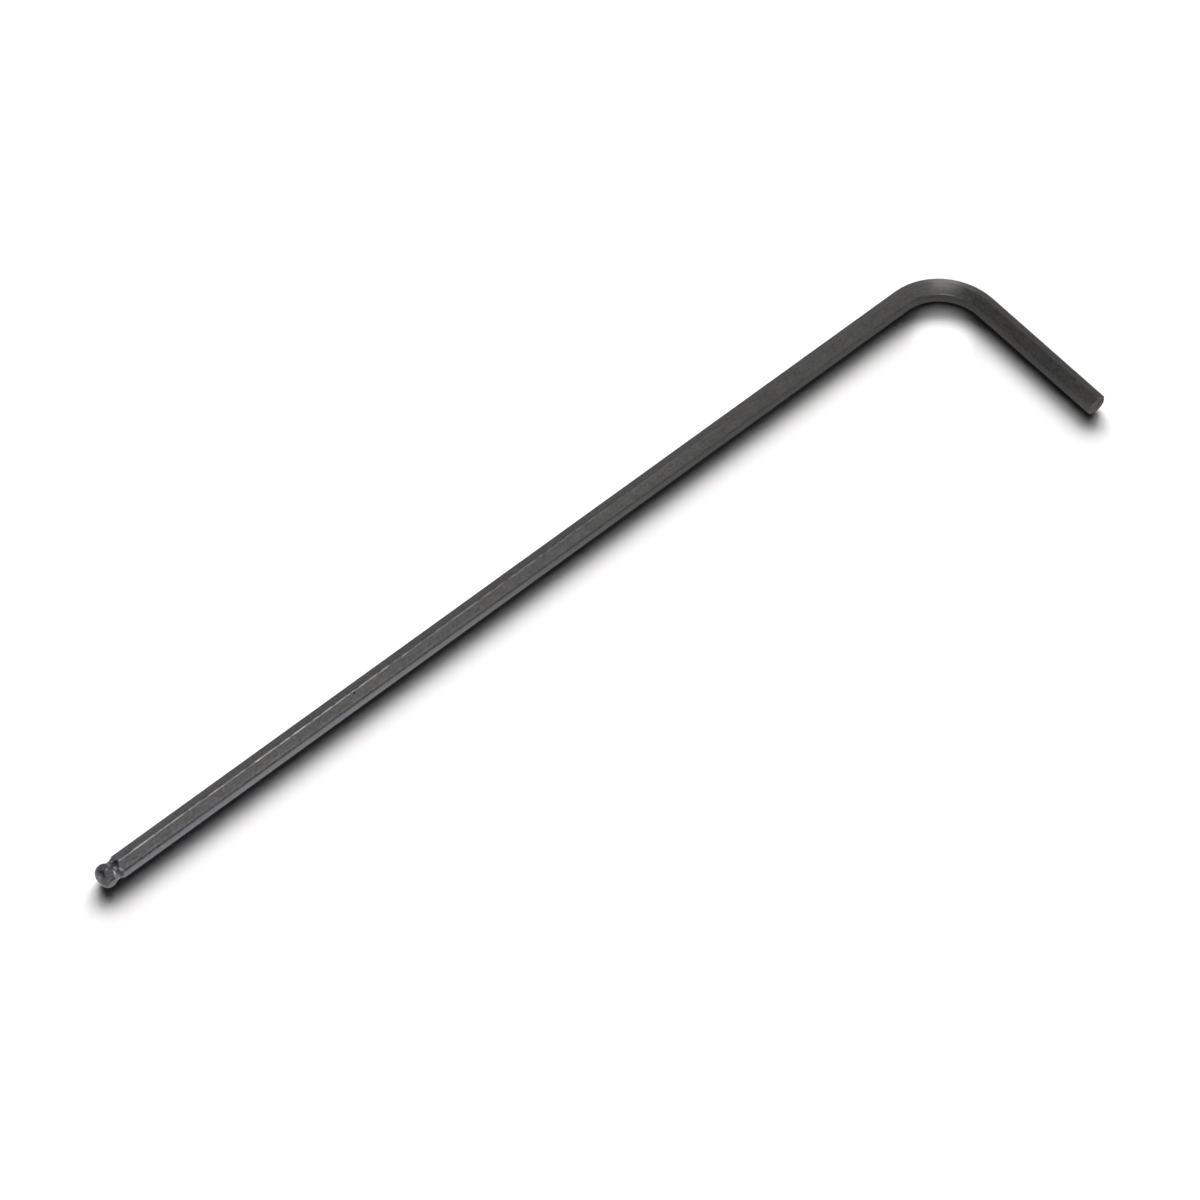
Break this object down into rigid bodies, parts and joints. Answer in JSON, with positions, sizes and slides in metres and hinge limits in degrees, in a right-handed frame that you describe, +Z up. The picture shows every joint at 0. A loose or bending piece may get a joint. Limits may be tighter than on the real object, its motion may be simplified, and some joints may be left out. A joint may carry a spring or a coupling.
{
  "type": "ball-end hex key",
  "caption": "L-shaped hexagonal steel key with a ball end on its long arm and a plain hex end on its short arm.",
  "frame": {"origin": "below the middle of the key's outer box, on the surface it lies on", "axes": "+Z up from the surface the key lies on; the long arm lies along X with its ball end at -X; the short arm runs from the bend at +X towards -Y"},
  "size_m": [0.08, 0.0166, 0.0017],
  "materials": {
    "black_steel": "black oxide, satin"
  },
  "bodies": {
    "root": {"hex_key": "black_steel"}
  },
  "joints": []
}
